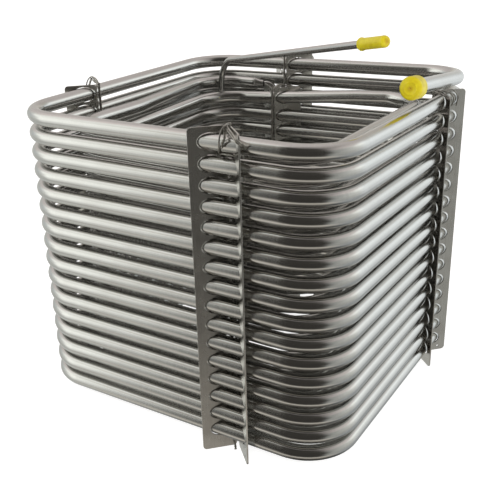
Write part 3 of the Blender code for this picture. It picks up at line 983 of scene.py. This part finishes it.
def add_reducer(coil_end, material):
    """The turned fitting from the coil's tube down to the riser's, with a fillet at each end."""
    half, edge = REDUCER_LENGTH / 2, REDUCER_EDGE
    thin, wide = REDUCER_THIN_R, REDUCER_WIDE_R
    profile = [(0, half), (thin - 0.0004, half)]
    profile += arc_points(thin - edge, half - edge, edge, 90, 0, 4)
    profile.append((thin, REDUCER_STEP[0]))
    profile += arc_points(wide - REDUCER_FILLET, REDUCER_STEP[1], REDUCER_FILLET, 60, 0, 5)
    profile += [(wide, -half + edge), (wide - edge, -half), (0, -half)]
    place = coil_end + Vector((BUTT_GAP + half, 0, 0))
    return turned("inlet_reducer_fitting", profile, place, RIGHT, material)


def weld_bead(centre, axis, radius):
    """A narrow raised bead round a butt joint."""
    turn = axis.to_track_quat("Z", "Y").to_matrix()
    angles = [2 * math.pi * i / BEAD_STEPS for i in range(BEAD_STEPS + 1)]
    ring = [centre + turn @ Vector((radius * math.cos(a), radius * math.sin(a), 0)) for a in angles]
    return sweep(ring, BEAD_R, sides=WIRE_SIDES)


def add_return_bend(outer_end, inner_end, material):
    """The half-round bend that joins the coils at the bottom, with a bead at each weld."""
    middle = (outer_end + inner_end) / 2
    spoke = Vector((0, COIL_GAP / 2, 0))
    rise = UP * (inner_end.z - outer_end.z)
    steps = 2 * CORNER_STEPS
    leg = Vector((-BEND_LEG, 0, 0))
    butt = Vector((-BUTT_GAP, 0, 0))
    arc = [middle + leg + Matrix.Rotation(math.pi * i / steps, 3, "Z") @ spoke + rise * (i / steps - 0.5)
           for i in range(steps + 1)]
    points = [outer_end + butt] + arc + [inner_end + butt]
    parts = [sweep(points, TUBE_R)]
    parts += [weld_bead(end + butt / 2, RIGHT, TUBE_R) for end in (outer_end, inner_end)]
    verts, faces, grain, uvs = joined(parts)
    return mesh_object("return_bend_tube", verts, faces, material, grain, uvs)


# ---------------------------------------------------------------- stage

def add_stage_object(name, verts, faces, material):
    """A mesh of the set, which isn't part of the object. Metal doesn't mirror it."""
    mesh = bpy.data.meshes.new(name)
    mesh.from_pydata(verts, [], faces)
    mesh.materials.append(material)
    obj = linked_object(name, mesh)
    obj.visible_glossy = False
    return obj


def glowing_material(name, base, glow):
    """A plain surface that also gives off white light."""
    material, _, shader = new_material(name)
    shader.inputs["Base Color"].default_value = base
    shader.inputs["Emission Color"].default_value = WHITE
    shader.inputs["Emission Strength"].default_value = glow
    return material, shader


def add_floor():
    """A pale floor, bright enough to make the plain white background."""
    material, shader = glowing_material("floor_pale", FLOOR_GREY, FLOOR_GLOW)
    shader.inputs["Roughness"].default_value = FLOOR_ROUGH
    half, z = FLOOR_HALF, FLOOR_Z
    corners = [(-half, -half, z), (half, -half, z), (half, half, z), (-half, half, z)]
    add_stage_object("floor", corners, [(0, 1, 2, 3)], material)


def add_backdrop():
    """A plain white dome that only the camera sees, if it sees that far. Its rings climb to the top."""
    material, _ = glowing_material("backdrop_white", BLACK, DOME_GLOW)
    verts = []
    for i in range(DOME_RINGS + 1):
        e = math.radians(DOME_LOW + (90 - DOME_LOW) * i / DOME_RINGS)
        across, z = DOME_R * math.cos(e), DOME_R * math.sin(e)
        for j in range(DOME_STEPS):
            a = 2 * math.pi * j / DOME_STEPS
            verts.append((across * math.cos(a), across * math.sin(a), z))
    faces = []
    for i in range(DOME_RINGS):
        low, high = i * DOME_STEPS, (i + 1) * DOME_STEPS
        for j in range(DOME_STEPS):
            k = (j + 1) % DOME_STEPS
            faces.append((low + j, high + j, high + k, low + k))
    dome = add_stage_object("backdrop", verts, faces, material)
    dome.visible_diffuse = dome.visible_shadow = dome.visible_transmission = False


def studio_ramp(tree, share, stops):
    """One row of the studio, as a colour ramp round the compass."""
    ramp = add_node(tree, "ShaderNodeValToRGB", {0: share})
    ramp.color_ramp.interpolation = "LINEAR"
    elements = ramp.color_ramp.elements
    while len(elements) > 1:
        elements.remove(elements[-1])
    for i, (angle, brightness, tint) in enumerate(stops):
        place = (angle - STUDIO_START) / FULL_TURN
        element = elements[0] if i == 0 else elements.new(place)
        element.position = place
        element.color = (*(brightness ** STUDIO_CONTRAST * t for t in tint), 1.0)
    return ramp.outputs["Color"]


def add_world():
    """Soft studio light from all sides, brighter at the left and at the right, dark behind the camera."""
    world = bpy.data.worlds.new("studio")
    bpy.context.scene.world = world
    world.use_nodes = True
    tree = world.node_tree
    direction = add_node(tree, "ShaderNodeTexCoord").outputs["Generated"]
    x, y, z = add_node(tree, "ShaderNodeSeparateXYZ", {0: direction}).outputs
    compass = math_node(tree, "ARCTAN2", y, x)
    past_start = math_node(tree, "SUBTRACT", compass, math.radians(STUDIO_START))
    share = math_node(tree, "FRACT", math_node(tree, "DIVIDE", past_start, 2 * math.pi))
    elevation = math_node(tree, "ARCSINE", z)
    below, stops = STUDIO[0]
    colour = studio_ramp(tree, share, stops)
    for level, stops in STUDIO[1:]:
        factor = map_range(tree, elevation, math.radians(below), math.radians(level), smooth=True)
        colour = mix_colour(tree, factor, colour, studio_ramp(tree, share, stops))
        below = level
    background = tree.nodes["Background"]
    tree.links.new(colour, background.inputs["Color"])
    background.inputs["Strength"].default_value = STUDIO_STRENGTH


def add_fill():
    """A broad soft light from beside the camera, for the matt pieces and the floor. No metal shows it."""
    data = bpy.data.lights.new("fill", "AREA")
    data.shape = "DISK"
    data.size = FILL_SIZE
    data.energy = FILL_POWER
    data.color = FILL_COLOUR
    fill = linked_object("fill", data)
    towards_centre = FILL_PLACE.to_track_quat("Z", "Y").to_matrix().to_4x4()
    fill.matrix_world = Matrix.Translation(FILL_PLACE) @ towards_centre
    fill.visible_glossy = False


def add_camera():
    """The camera at the photograph's angle."""
    forward = Vector((-math.sin(CAMERA_TURN) * math.cos(CAMERA_DOWN),
                      math.cos(CAMERA_TURN) * math.cos(CAMERA_DOWN), -math.sin(CAMERA_DOWN)))
    level = Vector((math.cos(CAMERA_TURN), math.sin(CAMERA_TURN), 0))
    above = level.cross(forward)
    right = level * math.cos(CAMERA_ROLL) + above * math.sin(CAMERA_ROLL)
    top = -level * math.sin(CAMERA_ROLL) + above * math.cos(CAMERA_ROLL)
    data = bpy.data.cameras.new("camera")
    data.lens = CAMERA_LENS
    data.sensor_width = CAMERA_SENSOR
    data.clip_start, data.clip_end = CAMERA_CLIP
    camera = linked_object("camera", data)
    turn = Matrix((right, top, -forward)).transposed().to_4x4()
    camera.matrix_world = Matrix.Translation(CAMERA_PLACE) @ turn
    bpy.context.scene.camera = camera


def build():
    """Every visible piece of the chiller."""
    tube, sheet, wire, vinyl = tube_material(), sheet_material(), wire_material(), vinyl_material()
    outer, inner = outer_path(), inner_path()
    outer_obj = tube_object("outer_coil_tube", outer, TUBE_R, tube, start=open_end(TUBE_R))
    finish_piece(outer_obj, "root", "stainless_tube", "outer_coil")
    inner_obj = tube_object("inner_coil_tube", inner, TUBE_R, tube)
    finish_piece(inner_obj, "root", "stainless_tube", "inner_coil")
    finish_piece(add_return_bend(outer[-1], inner[-1], tube), "root", "stainless_tube", "return_bend")
    finish_piece(add_reducer(inner[0], tube), "root", "stainless_tube", "inlet_reducer")
    riser = riser_points(inner[0] + Vector((REDUCER_LENGTH + RISER_GAP, 0, 0)))
    riser_obj = tube_object("riser_tube_bent", riser, RISER_R, tube, end=open_end(RISER_R))
    finish_piece(riser_obj, "root", "stainless_tube", "riser_tube")

    for side in SIDES:
        add_spacer("outer", side, OUTER_HALF, outer, sheet, wire)
    for side in ("front", "back"):
        add_spacer("inner", side, INNER_HALF, inner, sheet, wire)

    add_cap("outlet_cap_moulded", "outlet_cap", OUTLET_CAP, outlet_cap_profile(), outer[:2], vinyl)
    add_cap("inlet_cap_moulded", "inlet_cap", INLET_CAP, inlet_cap_profile(), riser[:-3:-1], vinyl)


build()
add_floor()
add_backdrop()
add_world()
add_fill()
add_camera()
bpy.context.scene.view_settings.view_transform = "Standard"
